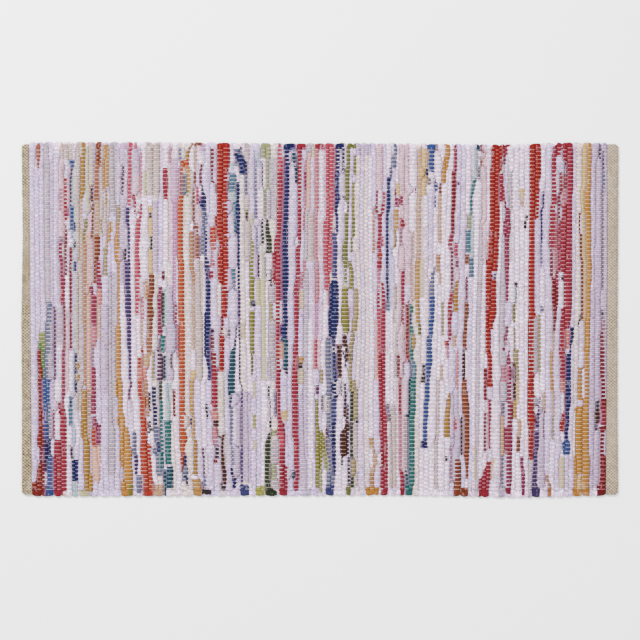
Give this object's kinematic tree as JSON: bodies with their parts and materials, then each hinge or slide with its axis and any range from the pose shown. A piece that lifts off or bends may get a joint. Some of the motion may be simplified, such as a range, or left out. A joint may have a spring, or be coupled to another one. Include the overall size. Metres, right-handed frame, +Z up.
{
  "type": "rag rug",
  "caption": "Flat rectangular woven rag rug: cloth strips in many colours on a cotton warp, with a hemmed cotton heading at each end.",
  "frame": {"origin": "centre of the rug on the surface that it lies on, at the middle of its bounding box's base", "axes": "+X along the rug's length, from the left heading to the right one; +Y across its width, to the top selvedge; +Z up"},
  "size_m": [0.9996, 0.596, 0.008],
  "materials": {
    "rag_weave": "matte",
    "heading_cotton": "matte"
  },
  "bodies": {
    "root": {"woven_field": "rag_weave", "end_band_left": "heading_cotton", "end_band_right": "heading_cotton"}
  },
  "joints": []
}
